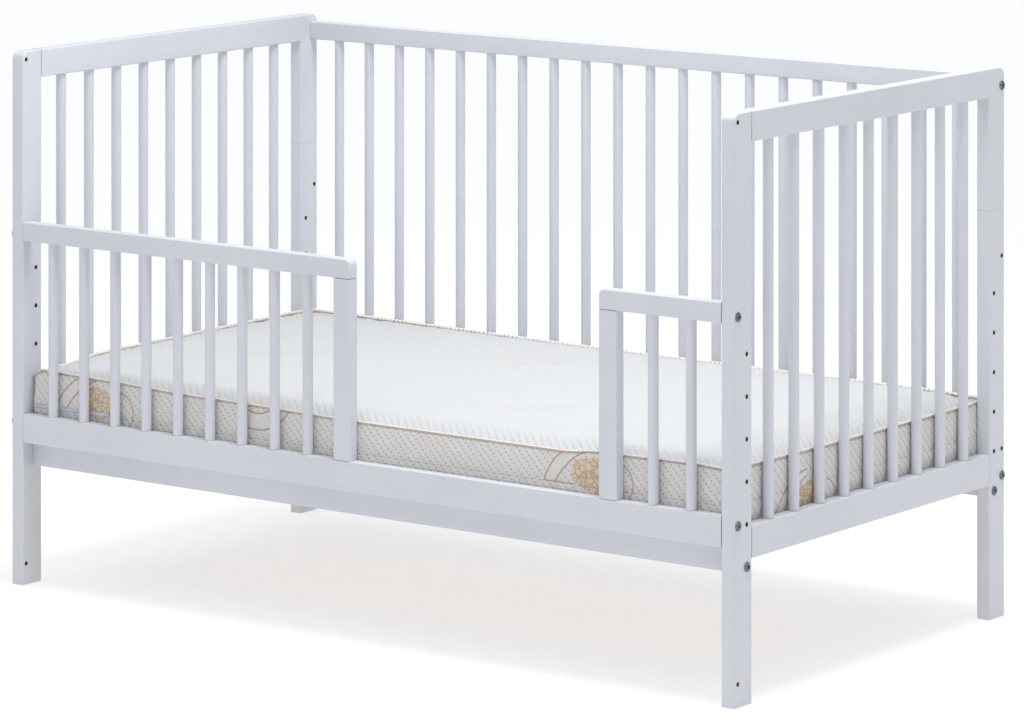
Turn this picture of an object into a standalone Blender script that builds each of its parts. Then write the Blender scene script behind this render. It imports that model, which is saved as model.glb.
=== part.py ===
"""Toddler bed: a painted wooden cot bed with two low guards and an entry gap along its front.

The bed stands on z = 0 with the middle of its footprint at the origin. X runs along its
length, -Y is the front and +Z is up. Every size is in metres. Each wooden piece, bolt and the
mattress is an object of its own, and GAP is left wherever two of them meet.
"""
import math

import bmesh
import bpy
from mathutils import Matrix, Vector

# The whole frame
LENGTH = 1.376
WIDTH = 0.741
HEIGHT = 0.843
GAP = 0.0003
CUT_PAST = 0.01
EDGE_RADIUS = 0.002
EDGE_SEGMENTS = 2

# Legs: flat boards, thin along X
LEG_THICK = 0.023
LEG_WIDE = 0.044
LEG_CORNER_RADIUS = 0.013
CORNER_SEGMENTS = 6
X_OUT = LENGTH / 2
X_IN = X_OUT - LEG_THICK
Y_OUT = WIDTH / 2
Y_IN = Y_OUT - LEG_WIDE

# End panels, flush with the legs' faces
END_TOP_RAIL = (0.799, HEIGHT)
END_BOTTOM_RAIL = (0.206, 0.253)
END_SPINDLES = 9
TENON_LENGTH = 0.018
TENON_THICK = 0.010
TENON_SHOULDER = 0.008

# Back panel, flush with the rear legs' back edges
PANEL_THICK = 0.019
BACK_TOP_RAIL = (0.801, 0.831)
BACK_BOTTOM_RAIL = (0.195, 0.240)
BACK_SPINDLES = 20

# Front rail and the two guards that stand on it, flush with the front legs' front edges
Y_FRONT = -Y_OUT
Y_FRONT_MID = Y_FRONT + PANEL_THICK / 2
Y_FRONT_INNER = Y_FRONT + PANEL_THICK
FRONT_RAIL = (0.226, 0.271)
GUARD_RAIL = (0.544, 0.574)
GUARD_CORNER_RADIUS = 0.010
STILE_WIDE = 0.032
STILE_TENON = (0.018, 0.008, 0.012)
LEFT_GUARD_LENGTH = 0.658
RIGHT_GUARD_LENGTH = 0.214
LEFT_GUARD_SPINDLES = 9
RIGHT_GUARD_SPINDLES = 2

# Round spindles, glued into blind sockets
SPINDLE_RADIUS = 0.008
SPINDLE_TENON = 0.010
SPINDLE_SIDES = 16
SOCKET_SIDES = 12
SOCKET_RADIUS = (SPINDLE_RADIUS + GAP) / math.cos(math.pi / SOCKET_SIDES)

# Mattress base
BASE_RAIL = (0.1875, 0.2315)
BASE_RAIL_THICK = 0.0165
BASE_SETBACK = 0.0236
SLAT_THICK = 0.008
SLAT_WIDE = 0.060
SLAT_REBATE = 0.008
SLATS = 12
BEARER_WIDE = 0.030
DECK_FRAME_BOTTOM = 0.2035
BASE_END_RAIL_THICK = 0.018
HOUSING = 0.001

# Mattress
MATTRESS_LENGTH = 1.311
MATTRESS_WIDTH = 0.692
MATTRESS_TOP = 0.335
MATTRESS_CORNER_RADIUS = 0.022
MATTRESS_EDGE_RADIUS = 0.006

# Bolts, their holes in the legs, and the barrel nuts' holes in the rails. The base bolts
# through one of six holes, whose heights are BASE_HOLE_PITCH apart.
BOLT_RADIUS = 0.003
BOLT_LENGTH = 0.060
HEAD_RADIUS = 0.007
HEAD_HEIGHT = 0.0018
HEAD_CHAMFER = 0.0008
HEX_RADIUS = 0.0023
HEX_DEPTH = 0.0025
HOLE_RADIUS = 0.0033
HOLE_SIDES = 12
BOLT_SIDES = 16
RAIL_HOLE_DEPTH = 0.045
NUT_HOLE_RADIUS = 0.0052
NUT_HOLE_INSET = 0.028
NUT_HOLE_SKIN = 0.004
PANEL_BOLT_INSET = 0.008
BASE_BOLT_INSET = 0.0308
BASE_HEIGHTS = 6
BASE_TOP_HOLE = 0.499
BASE_HOLE_PITCH = 0.0605
FOOT_HOLE = 0.034
TOP_HOLE = 0.830
GUARD_BOLT = 0.554
FRONT_BOLT = 0.258
BACK_TOP_BOLT = 0.815
BACK_BOTTOM_BOLT = 0.217
BASE_BOLT = BASE_TOP_HOLE - (BASE_HEIGHTS - 1) * BASE_HOLE_PITCH

SIDES = {"left": -1, "right": 1}
ROWS = {"front": -1, "rear": 1}


def clear_scene():
    for obj in list(bpy.data.objects):
        bpy.data.objects.remove(obj, do_unlink=True)


def new_collection(name, hidden=False):
    collection = bpy.data.collections.new(name)
    bpy.context.scene.collection.children.link(collection)
    collection.hide_render = hidden
    return collection


def new_material(name, colour, roughness, metallic=0.0):
    material = bpy.data.materials.new(name)
    material.use_nodes = True
    shader = material.node_tree.nodes["Principled BSDF"]
    shader.inputs["Base Color"].default_value = (*colour, 1.0)
    shader.inputs["Roughness"].default_value = roughness
    shader.inputs["Metallic"].default_value = metallic
    return material


def add_box(bm, low, high):
    """Add a box between two corners."""
    low = Vector(low)
    high = Vector(high)
    place = Matrix.Translation((low + high) / 2) @ Matrix.Diagonal((*(high - low), 1.0))
    bmesh.ops.create_cube(bm, size=1.0, matrix=place)


def add_cylinder(bm, radius, start, end, sides):
    """Add a closed cylinder between two points."""
    start = Vector(start)
    axis = Vector(end) - start
    turn = axis.to_track_quat("Z", "X").to_matrix().to_4x4()
    place = Matrix.Translation(start + axis / 2) @ turn
    bmesh.ops.create_cone(bm, cap_ends=True, segments=sides, radius1=radius, radius2=radius,
                          depth=axis.length, matrix=place)


def add_object(name, bm, place, material):
    """Turn a bmesh into one named piece of the bed."""
    mesh = bpy.data.meshes.new(name)
    bm.to_mesh(mesh)
    bm.free()
    return add_piece(name, mesh, place, material)


def add_piece(name, mesh, place, material):
    """Place a mesh as one named piece of the bed. Several pieces may share a mesh."""
    if not mesh.materials:
        mesh.materials.append(material)
        mesh.shade_smooth()
        mesh.set_sharp_from_angle(angle=math.radians(40))
    obj = bpy.data.objects.new(name, mesh)
    obj.location = place
    bed.objects.link(obj)
    return obj


def add_cutter(name, bm):
    """Turn a bmesh in world coordinates into a hidden Boolean operand."""
    mesh = bpy.data.meshes.new(name)
    bm.to_mesh(mesh)
    bm.free()
    obj = bpy.data.objects.new(name, mesh)
    obj.hide_render = True
    obj.display_type = "WIRE"
    cutters.objects.link(obj)
    return obj


def join_with(piece, operand, operation):
    """Cut an operand out of a piece, or fuse it on."""
    boolean = piece.modifiers.new(operand.name, "BOOLEAN")
    boolean.operation = operation
    boolean.solver = "EXACT"
    boolean.object = operand


def parallel_edges(bm, axis):
    """Return the edges that run along one of the axes X, Y and Z."""
    way = {"X": Vector((1, 0, 0)), "Y": Vector((0, 1, 0)), "Z": Vector((0, 0, 1))}[axis]
    return [edge for edge in bm.edges
            if abs((edge.verts[1].co - edge.verts[0].co).normalized().dot(way)) > 0.999]


def round_edges(bm, edges, radius, segments):
    bmesh.ops.bevel(bm, geom=edges, offset=radius, segments=segments, affect="EDGES", profile=0.5)


def board(name, low, high, soft_axes, material):
    """Make a board between two corners, its edges along soft_axes, such as "XY", rounded over."""
    low = Vector(low)
    high = Vector(high)
    bm = bmesh.new()
    add_box(bm, (low - high) / 2, (high - low) / 2)
    edges = [edge for axis in soft_axes for edge in parallel_edges(bm, axis)]
    if edges:
        round_edges(bm, edges, EDGE_RADIUS, EDGE_SEGMENTS)
    return add_object(name, bm, (low + high) / 2, material)


def span(side, near, far):
    """Return a low and a high value from two distances on one side of the middle."""
    return sorted((side * near, side * far))


def spindle_places(start, end, count):
    """Return the spindles' centres along a span, with equal clear gaps between them."""
    pitch = (end - start + 2 * SPINDLE_RADIUS) / (count + 1)
    return [start - SPINDLE_RADIUS + pitch * (i + 1) for i in range(count)]


def guard_spans(side, length):
    """Return a guard's ends along X between leg and stile, and those of its stile."""
    free_end = side * (X_IN - length)
    stile_edge = free_end + side * STILE_WIDE
    return sorted((stile_edge, side * X_IN)), sorted((free_end, stile_edge))


def leg_holes(row):
    """Return each hole of a leg as its distance from the leg's outer edge and its height."""
    ladder = [(BASE_BOLT_INSET, BASE_TOP_HOLE - i * BASE_HOLE_PITCH) for i in range(BASE_HEIGHTS)]
    own = (FOOT_HOLE, TOP_HOLE) if row < 0 else (BACK_BOTTOM_BOLT, BACK_TOP_BOLT)
    return ladder + [(PANEL_BOLT_INSET, height) for height in (FRONT_BOLT, GUARD_BOLT, *own)]


def tenon_box(side, row, rail, clearance):
    """Return the corners of the tenon that joins an end rail to a leg, or of its mortise."""
    x_mid = side * (X_OUT - LEG_THICK / 2)
    reach = TENON_THICK / 2 + clearance
    y_low, y_high = span(row, Y_IN - TENON_SHOULDER, Y_IN + TENON_LENGTH + clearance)
    low = (x_mid - reach, y_low, rail[0] + TENON_SHOULDER - clearance)
    high = (x_mid + reach, y_high, rail[1] - TENON_SHOULDER + clearance)
    return low, high


def make_leg(side_name, row_name):
    """Make a drilled and mortised leg with its outer top corner rounded."""
    side = SIDES[side_name]
    row = ROWS[row_name]
    name = f"leg_{row_name}_{side_name}"
    half = Vector((LEG_THICK, LEG_WIDE, HEIGHT)) / 2
    bm = bmesh.new()
    add_box(bm, -half, half)
    corner = [edge for edge in parallel_edges(bm, "X")
              if all(v.co.z > 0 and v.co.y * row > 0 for v in edge.verts)]
    round_edges(bm, corner, LEG_CORNER_RADIUS, CORNER_SEGMENTS)
    sharp = [edge for edge in bm.edges if edge.calc_face_angle() > math.radians(30)]
    round_edges(bm, sharp, EDGE_RADIUS, EDGE_SEGMENTS)
    place = (side * (X_OUT - half.x), row * (Y_OUT - half.y), half.z)
    leg = add_object(name, bm, place, paint)

    holes = bmesh.new()
    for inset, height in leg_holes(row):
        y = row * (Y_OUT - inset)
        add_cylinder(holes, HOLE_RADIUS, (side * (X_IN - CUT_PAST), y, height),
                     (side * (X_OUT + CUT_PAST), y, height), HOLE_SIDES)
    for rail in (END_TOP_RAIL, END_BOTTOM_RAIL):
        add_box(holes, *tenon_box(side, row, rail, GAP))
    join_with(leg, add_cutter(f"{name}_holes", holes), "DIFFERENCE")


def spindle_mesh(length):
    """Make a round spindle that stands on its own origin."""
    bm = bmesh.new()
    add_cylinder(bm, SPINDLE_RADIUS, (0, 0, 0), (0, 0, length), SPINDLE_SIDES)
    mesh = bpy.data.meshes.new("spindle")
    bm.to_mesh(mesh)
    bm.free()
    return mesh


def make_spindles(prefix, places, low, high):
    """Stand a row of spindles between two rails, each with its ends in the rails' sockets."""
    mesh = spindle_mesh(high - low + 2 * SPINDLE_TENON)
    for number, (x, y) in enumerate(places, 1):
        add_piece(f"{prefix}_{number}", mesh, (x, y, low - SPINDLE_TENON), paint)


def add_sockets(bm, places, face, way):
    """Add the sockets' cutters for a row of spindles. way is +1 for sockets above the face."""
    for x, y in places:
        mouth = face - way * CUT_PAST
        end = face + way * (SPINDLE_TENON + GAP)
        add_cylinder(bm, SOCKET_RADIUS, (x, y, mouth), (x, y, end), SOCKET_SIDES)


def make_end_panel(side_name):
    """Make an end panel's rails, tenoned into the legs, and its spindles."""
    side = SIDES[side_name]
    x_low, x_high = span(side, X_IN, X_OUT)
    x_mid = (x_low + x_high) / 2
    places = [(x_mid, y) for y in spindle_places(-Y_IN, Y_IN, END_SPINDLES)]
    rails = {
        f"end_top_rail_{side_name}": (END_TOP_RAIL, END_TOP_RAIL[0], 1),
        f"end_bottom_rail_{side_name}": (END_BOTTOM_RAIL, END_BOTTOM_RAIL[1], -1),
    }
    for name, (rail, face, way) in rails.items():
        obj = board(name, (x_low, -Y_IN + GAP, rail[0]), (x_high, Y_IN - GAP, rail[1]), "Y", paint)
        tenons = bmesh.new()
        for row in ROWS.values():
            add_box(tenons, *tenon_box(side, row, rail, 0))
        join_with(obj, add_cutter(f"{name}_tenons", tenons), "UNION")
        sockets = bmesh.new()
        add_sockets(sockets, places, face, way)
        join_with(obj, add_cutter(f"{name}_sockets", sockets), "DIFFERENCE")
    make_spindles(f"end_spindle_{side_name}", places, END_BOTTOM_RAIL[1], END_TOP_RAIL[0])


def bore_rail_ends(rail, ends, y, height, nut_mouth, nut_end):
    """Drill a rail's ends for its bolts, and one of its faces for their barrel nuts.

    ends are the signs of the bolted ends and y is the bolts' axis. The nuts' holes open at
    nut_mouth and end blind at nut_end, both along Y.
    """
    past_mouth = nut_mouth + math.copysign(CUT_PAST, nut_mouth - nut_end)
    bolts = bmesh.new()
    nuts = bmesh.new()
    for end in ends:
        add_cylinder(bolts, HOLE_RADIUS, (end * (X_IN - RAIL_HOLE_DEPTH), y, height),
                     (end * (X_IN + CUT_PAST), y, height), HOLE_SIDES)
        x = end * (X_IN - NUT_HOLE_INSET)
        add_cylinder(nuts, NUT_HOLE_RADIUS, (x, nut_end, height), (x, past_mouth, height),
                     HOLE_SIDES)
    join_with(rail, add_cutter(f"{rail.name}_bolt_holes", bolts), "DIFFERENCE")
    join_with(rail, add_cutter(f"{rail.name}_nut_holes", nuts), "DIFFERENCE")


def make_back_panel():
    """Make the back's top rail, and its bottom rail with the spindles fused on."""
    y_low = Y_OUT - PANEL_THICK
    y_mid = Y_OUT - PANEL_THICK / 2
    x_end = X_IN - GAP
    places = [(x, y_mid) for x in spindle_places(-X_IN, X_IN, BACK_SPINDLES)]
    top = board("back_top_rail", (-x_end, y_low, BACK_TOP_RAIL[0]),
                (x_end, Y_OUT, BACK_TOP_RAIL[1]), "X", paint)
    sockets = bmesh.new()
    add_sockets(sockets, places, BACK_TOP_RAIL[0], 1)
    join_with(top, add_cutter("back_top_rail_sockets", sockets), "DIFFERENCE")
    y_bolt = Y_OUT - PANEL_BOLT_INSET
    bore_rail_ends(top, (-1, 1), y_bolt, BACK_TOP_BOLT, Y_OUT, y_low + NUT_HOLE_SKIN)

    bottom = board("back_bottom_rail_and_spindles", (-x_end, y_low, BACK_BOTTOM_RAIL[0]),
                   (x_end, Y_OUT, BACK_BOTTOM_RAIL[1]), "X", paint)
    spindles = bmesh.new()
    for x, y in places:
        add_cylinder(spindles, SPINDLE_RADIUS, (x, y, BACK_BOTTOM_RAIL[1] - SPINDLE_TENON),
                     (x, y, BACK_TOP_RAIL[0] + SPINDLE_TENON), SPINDLE_SIDES)
    join_with(bottom, add_cutter("back_spindles", spindles), "UNION")
    bore_rail_ends(bottom, (-1, 1), y_bolt, BACK_BOTTOM_BOLT, Y_OUT, y_low + NUT_HOLE_SKIN)


def stile_tenons(x_mid, clearance):
    """Return the boxes of a stile's lower and upper tenons, or of their mortises."""
    wide, thick, deep = STILE_TENON
    reach_x = wide / 2 + clearance
    reach_y = thick / 2 + clearance
    boxes = []
    for face, way in ((FRONT_RAIL[1], -1), (GUARD_RAIL[0], 1)):
        z_low, z_high = sorted((face - way * deep, face + way * (deep + clearance)))
        boxes.append(((x_mid - reach_x, Y_FRONT_MID - reach_y, z_low),
                      (x_mid + reach_x, Y_FRONT_MID + reach_y, z_high)))
    return boxes


def guard_rail_mesh(side, length):
    """Shape a guard's top rail, with its free end's upper corner rounded and its butt square."""
    half = Vector((length, PANEL_THICK, GUARD_RAIL[1] - GUARD_RAIL[0])) / 2
    bm = bmesh.new()
    add_box(bm, -half, half)
    corner = [edge for edge in parallel_edges(bm, "Y")
              if all(v.co.z > 0 and v.co.x * side < 0 for v in edge.verts)]
    round_edges(bm, corner, GUARD_CORNER_RADIUS, CORNER_SEGMENTS)
    butt = side * half.x
    sharp = [edge for edge in bm.edges
             if edge.calc_face_angle() > math.radians(30)
             and not all(abs(v.co.x - butt) < GAP for v in edge.verts)]
    round_edges(bm, sharp, EDGE_RADIUS, EDGE_SEGMENTS)
    return bm


def make_guard_rail(side_name, length, places, stile_mid):
    """Make a guard's top rail, socketed for its spindles and stile and drilled for its bolt."""
    side = SIDES[side_name]
    x_low, x_high = sorted((side * (X_IN - length), side * (X_IN - GAP)))
    middle = ((x_low + x_high) / 2, Y_FRONT_MID, sum(GUARD_RAIL) / 2)
    name = f"guard_top_rail_{side_name}"
    rail = add_object(name, guard_rail_mesh(side, x_high - x_low), middle, paint)
    sockets = bmesh.new()
    add_sockets(sockets, places, GUARD_RAIL[0], 1)
    add_box(sockets, *stile_tenons(stile_mid, GAP)[1])
    join_with(rail, add_cutter(f"{name}_sockets", sockets), "DIFFERENCE")
    bore_rail_ends(rail, (side,), Y_FRONT + PANEL_BOLT_INSET, GUARD_BOLT, Y_FRONT_INNER,
                   Y_FRONT + NUT_HOLE_SKIN)


def make_guard_stile(side_name, stile_low, stile_high):
    """Make the stile beside the entry gap, tenoned into the rails under and over it."""
    name = f"guard_stile_{side_name}"
    stile = board(name, (stile_low, Y_FRONT, FRONT_RAIL[1] + GAP),
                  (stile_high, Y_FRONT_INNER, GUARD_RAIL[0] - GAP), "Z", paint)
    tenons = bmesh.new()
    for low, high in stile_tenons((stile_low + stile_high) / 2, 0):
        add_box(tenons, low, high)
    join_with(stile, add_cutter(f"{name}_tenons", tenons), "UNION")


def make_guard(side_name, length, count):
    """Make a guard, and return its spindles' places and its stile's middle."""
    spindle_span, stile = guard_spans(SIDES[side_name], length)
    places = [(x, Y_FRONT_MID) for x in spindle_places(*spindle_span, count)]
    stile_mid = sum(stile) / 2
    make_guard_rail(side_name, length, places, stile_mid)
    make_guard_stile(side_name, *stile)
    make_spindles(f"guard_spindle_{side_name}", places, FRONT_RAIL[1], GUARD_RAIL[0])
    return places, stile_mid


def make_front(left, right):
    """Make the front rail, with the sockets and mortises that the two guards stand in."""
    x_end = X_IN - GAP
    rail = board("front_bottom_rail", (-x_end, Y_FRONT, FRONT_RAIL[0]),
                 (x_end, Y_FRONT_INNER, FRONT_RAIL[1]), "X", paint)
    sockets = bmesh.new()
    for places, stile_mid in (left, right):
        add_sockets(sockets, places, FRONT_RAIL[1], -1)
        add_box(sockets, *stile_tenons(stile_mid, GAP)[0])
    join_with(rail, add_cutter("front_bottom_rail_sockets", sockets), "DIFFERENCE")
    bore_rail_ends(rail, (-1, 1), Y_FRONT + PANEL_BOLT_INSET, FRONT_BOLT, Y_FRONT_INNER,
                   Y_FRONT + NUT_HOLE_SKIN)


def make_base_side_rails():
    """Make the mattress base's two side rails, rebated along their inner top edges."""
    x_end = X_IN - GAP
    y_outer = Y_OUT - BASE_SETBACK
    y_inner = y_outer - BASE_RAIL_THICK
    floor = BASE_RAIL[1] - SLAT_THICK - GAP
    for row_name, row in ROWS.items():
        name = f"base_side_rail_{row_name}"
        y_low, y_high = span(row, y_inner, y_outer)
        rail = board(name, (-x_end, y_low, BASE_RAIL[0]), (x_end, y_high, BASE_RAIL[1]), "", paint)
        rebate = bmesh.new()
        y_low, y_high = span(row, y_inner - CUT_PAST, y_inner + SLAT_REBATE)
        add_box(rebate, (-x_end - CUT_PAST, y_low, floor),
                (x_end + CUT_PAST, y_high, BASE_RAIL[1] + CUT_PAST))
        join_with(rail, add_cutter(f"{name}_rebate", rebate), "DIFFERENCE")
        bore_rail_ends(rail, (-1, 1), row * (Y_OUT - BASE_BOLT_INSET), BASE_BOLT,
                       row * y_inner, row * (y_outer - NUT_HOLE_SKIN))


def make_slat_deck():
    """Make the slats, fused with the centre bearer and the two end rails under them."""
    x_end = X_IN - GAP
    y_rail = Y_OUT - BASE_SETBACK - BASE_RAIL_THICK
    y_slat = y_rail + SLAT_REBATE - GAP
    slat_bottom = BASE_RAIL[1] - SLAT_THICK
    y_frame = y_rail - GAP
    deck = board("base_slat_deck",
                 (-x_end + HOUSING, -BEARER_WIDE / 2, DECK_FRAME_BOTTOM),
                 (x_end - HOUSING, BEARER_WIDE / 2, slat_bottom + HOUSING), "", bare_wood)
    ends = bmesh.new()
    for side in SIDES.values():
        x_low, x_high = span(side, x_end - BASE_END_RAIL_THICK, x_end)
        add_box(ends, (x_low, -y_frame, DECK_FRAME_BOTTOM),
                (x_high, y_frame, slat_bottom + 2 * HOUSING))
    join_with(deck, add_cutter("base_end_rails", ends), "UNION")
    slats = bmesh.new()
    pitch = (2 * x_end - SLAT_WIDE) / (SLATS - 1)
    for i in range(SLATS):
        x_low = -x_end + i * pitch
        add_box(slats, (x_low, -y_slat, slat_bottom), (x_low + SLAT_WIDE, y_slat, BASE_RAIL[1]))
    join_with(deck, add_cutter("base_slats", slats), "UNION")


def make_mattress():
    """Make the mattress as a plain block with rounded corners."""
    bottom = BASE_RAIL[1] + GAP
    half = Vector((MATTRESS_LENGTH, MATTRESS_WIDTH, MATTRESS_TOP - bottom)) / 2
    bm = bmesh.new()
    add_box(bm, -half, half)
    round_edges(bm, parallel_edges(bm, "Z"), MATTRESS_CORNER_RADIUS, CORNER_SEGMENTS)
    sharp = [edge for edge in bm.edges if edge.calc_face_angle() > math.radians(30)]
    round_edges(bm, sharp, MATTRESS_EDGE_RADIUS, EDGE_SEGMENTS)
    add_object("mattress", bm, (0, 0, bottom + half.z), fabric)


def bolt_mesh():
    """Make the turned outline of a flat-headed bolt whose head stands on z = 0."""
    seat = GAP
    top = seat + HEAD_HEIGHT
    outline = [(0, top), (HEAD_RADIUS - HEAD_CHAMFER, top),
               (HEAD_RADIUS, top - HEAD_CHAMFER), (HEAD_RADIUS, seat),
               (BOLT_RADIUS, seat), (BOLT_RADIUS, -BOLT_LENGTH), (0, -BOLT_LENGTH)]
    mesh = bpy.data.meshes.new("bolt")
    points = [(x, 0, z) for x, z in outline]
    mesh.from_pydata(points, [(i, i + 1) for i in range(len(points) - 1)], [])
    return mesh


def make_bolt(name, mesh, side, y, z):
    """Put a bolt through a leg along X, with its hex socket facing outwards."""
    bolt = add_piece(name, mesh, (side * X_OUT, y, z), steel)
    bolt.rotation_euler = (0, side * math.pi / 2, 0)
    turn = bolt.modifiers.new("turn", "SCREW")
    turn.steps = BOLT_SIDES
    turn.render_steps = BOLT_SIDES
    turn.use_merge_vertices = True
    turn.merge_threshold = 0.0001
    top = X_OUT + GAP + HEAD_HEIGHT
    socket = bmesh.new()
    add_cylinder(socket, HEX_RADIUS, (side * (top - HEX_DEPTH), y, z),
                 (side * (top + CUT_PAST), y, z), 6)
    join_with(bolt, add_cutter(f"{name}_socket", socket), "DIFFERENCE")


def make_bolts():
    """Bolt the front, back and base to the legs, three bolts to each leg."""
    mesh = bolt_mesh()
    front = {"guard": (GUARD_BOLT, PANEL_BOLT_INSET), "rail": (FRONT_BOLT, PANEL_BOLT_INSET),
             "base": (BASE_BOLT, BASE_BOLT_INSET)}
    rear = {"top": (BACK_TOP_BOLT, PANEL_BOLT_INSET), "bottom": (BACK_BOTTOM_BOLT, PANEL_BOLT_INSET),
            "base": (BASE_BOLT, BASE_BOLT_INSET)}
    for row_name, bolts in (("front", front), ("rear", rear)):
        for side_name, side in SIDES.items():
            for use, (height, inset) in bolts.items():
                y = ROWS[row_name] * (Y_OUT - inset)
                make_bolt(f"bolt_{row_name}_{side_name}_{use}", mesh, side, y, height)


clear_scene()
bed = new_collection("toddler_bed")
cutters = new_collection("cutters", hidden=True)
paint = new_material("white_paint", (0.72, 0.74, 0.78), 0.38)
bare_wood = new_material("bare_wood", (0.62, 0.45, 0.28), 0.6)
steel = new_material("zinc_steel", (0.42, 0.43, 0.44), 0.35, metallic=1.0)
fabric = new_material("mattress_cover", (0.86, 0.85, 0.82), 0.9)

for leg_side in SIDES:
    for leg_row in ROWS:
        make_leg(leg_side, leg_row)
    make_end_panel(leg_side)
make_back_panel()
left_guard = make_guard("left", LEFT_GUARD_LENGTH, LEFT_GUARD_SPINDLES)
right_guard = make_guard("right", RIGHT_GUARD_LENGTH, RIGHT_GUARD_SPINDLES)
make_front(left_guard, right_guard)
make_base_side_rails()
make_slat_deck()
make_mattress()
make_bolts()
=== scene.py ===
import math

import bmesh
import bpy
import numpy as np
from mathutils import Matrix, Vector, noise
from mathutils.bvhtree import BVHTree


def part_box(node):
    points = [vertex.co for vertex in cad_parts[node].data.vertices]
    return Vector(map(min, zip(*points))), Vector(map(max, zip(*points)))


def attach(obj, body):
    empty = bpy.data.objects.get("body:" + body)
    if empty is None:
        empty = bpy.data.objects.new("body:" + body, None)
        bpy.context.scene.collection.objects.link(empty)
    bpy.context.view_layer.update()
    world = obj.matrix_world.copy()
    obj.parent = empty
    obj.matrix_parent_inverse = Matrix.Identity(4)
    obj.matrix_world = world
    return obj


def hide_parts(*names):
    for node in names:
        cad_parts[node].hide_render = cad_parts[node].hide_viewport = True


# Looks of the toddler bed: white satin paint on pine, zinc-plated bolts and barrel nuts, bare
# slats, and a foam mattress in a dotted knit cover. Metres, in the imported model's own frame.
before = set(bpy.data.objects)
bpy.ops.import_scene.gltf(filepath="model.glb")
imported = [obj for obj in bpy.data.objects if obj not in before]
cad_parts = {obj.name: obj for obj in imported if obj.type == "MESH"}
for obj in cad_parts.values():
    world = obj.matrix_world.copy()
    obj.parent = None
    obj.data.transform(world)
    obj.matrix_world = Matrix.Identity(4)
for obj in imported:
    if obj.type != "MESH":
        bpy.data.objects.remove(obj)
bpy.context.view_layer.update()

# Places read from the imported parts
LEG_LOW, LEG_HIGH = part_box("leg_front_right")
X_IN = LEG_LOW.x
X_OUT = LEG_HIGH.x
Y_IN = -LEG_HIGH.y
Y_FRONT_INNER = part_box("front_bottom_rail")[1].y
Y_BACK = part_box("back_top_rail")[1].y
DECK_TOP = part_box("base_slat_deck")[1].z
END_RAIL_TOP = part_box("end_bottom_rail_right")[1].z
SPINDLE_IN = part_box("end_spindle_right_1")[0].x

# Details of the wood: the slats' spacing and thickness, half the bearer's width, the height of
# the rear legs' finger joint
SLAT_PITCH = (2 * X_IN - 0.060) / 11
SLAT_THICK = 0.008
BEARER_HALF = 0.0155
FINGER_JOINT = 0.626
# The rails along X that barrel nuts are sunk in, and how wide a brown band shows at their ends
# That band is bare end grain, and painted shade of the joint gap to the leg.
NUTTED_RAILS = {"front_bottom_rail": 0.0008, "guard_top_rail_left": 0.0005,
                "guard_top_rail_right": 0.0008, "back_top_rail": 0.0004,
                "back_bottom_rail_and_spindles": 0.0004, "base_side_rail_front": 0.0004,
                "base_side_rail_rear": 0.0004}

# Camera: far off, looking a little down, with the upright lines kept parallel
CAMERA_PLACE = (4.5892, -6.1659, 1.6943)
CAMERA_HEADING = -0.6376
CAMERA_DIP = math.radians(9.775)
CAMERA_LENS = 175.95
SENSOR_WIDTH = 36.0

# Colours, as linear RGB
PAINT_LIGHT = (0.629, 0.641, 0.684)
PAINT_SHADE = (0.596, 0.610, 0.653)
PAINT_SPECK = (0.50, 0.51, 0.54)
JOINT_GREY = (0.30, 0.29, 0.30)
RAW_WOOD = (0.155, 0.070, 0.045)
PINE_LIGHT = (0.60, 0.41, 0.23)
PINE_DARK = (0.42, 0.25, 0.12)
PINE_TINT = (0.66, 0.47, 0.27)
KNOT_BROWN = (0.17, 0.075, 0.03)
ZINC_LIGHT = (0.22, 0.26, 0.285)
ZINC_DARK = (0.08, 0.10, 0.11)
KNIT = (0.700, 0.686, 0.672)
# The top panel's cooler white knit, dimmed as painted shade against the stronger light on the top.
KNIT_TOP_WITH_PAINTED_SHADE = (0.560, 0.564, 0.572)
# Painted shade in the top's dimples.
DIMPLE_SHADE_GREY = (0.48, 0.45, 0.41)
DOT_BROWN = (0.40, 0.28, 0.17)
PRINT_BROWN = (0.44, 0.29, 0.17)
PRINT_BEIGE = (0.60, 0.47, 0.33)
PETAL_BEIGE = (0.66, 0.54, 0.41)
PATCH_BEIGE = (0.62, 0.53, 0.40)
SPRIG_BEIGE = (0.57, 0.505, 0.40)
CORD_LIGHT = (0.76, 0.74, 0.69)
CORD_DARK = (0.70, 0.64, 0.54)
# Brown thread; its row under the top seam also stands in for the shade there.
THREAD_AND_SEAM_SHADE_BROWN = (0.26, 0.155, 0.085)
ZIP_BLUE = (0.86, 0.89, 1.0)
ZIP_SHADE = (0.78, 0.82, 0.98)
FLOOR_WHITE = (0.44, 0.44, 0.44)
FLOOR_GLOW = (0.607, 0.616, 0.632)

# Light
SKY_COLOUR = (0.955, 0.975, 1.0, 1.0)
SKY_HORIZON = 0.93
SKY_ABOVE = 0.42
SKY_FADE_TOP = math.radians(20)
LIGHT_COLOUR = (0.97, 0.985, 1.0)
OVERHEAD_STRENGTH = 1.24
OVERHEAD_SPREAD = math.radians(80)
OVERHEAD_TILT = (math.radians(6), math.radians(-1), 0)
LAMP_POWER = 60.0
LAMP_PLACE = (0.60, -0.30, 3.0)
LAMP_SIZE = 1.2

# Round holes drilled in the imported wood: the sides of their mesh, their radii and the nuts' depth
HOLE_SIDES = 12
BOLT_HOLE = 0.0033
NUT_HOLE = 0.0052
NUT_DEPTH = 0.015
# Edges of small pieces that are folded more than this stay sharp
SHARP = math.radians(35)

# Mattress cover
CELL = 0.011
CORNER_RADIUS = 0.008
CORNER_STEPS = 2
BOTTOM_SEAM = 0.2365
FLAP_HEIGHT = 0.281
ROLL_WIDTH = 0.045
PLATEAU = 0.3375
PIPING_RADIUS = 0.0024
FRONT_PIPING_RADIUS = 0.0017
BACK_PIPING_LIFT = 0.0030
BACK_PIPING_RADIUS = 0.0034
END_BELLY = 0.0030
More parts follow.
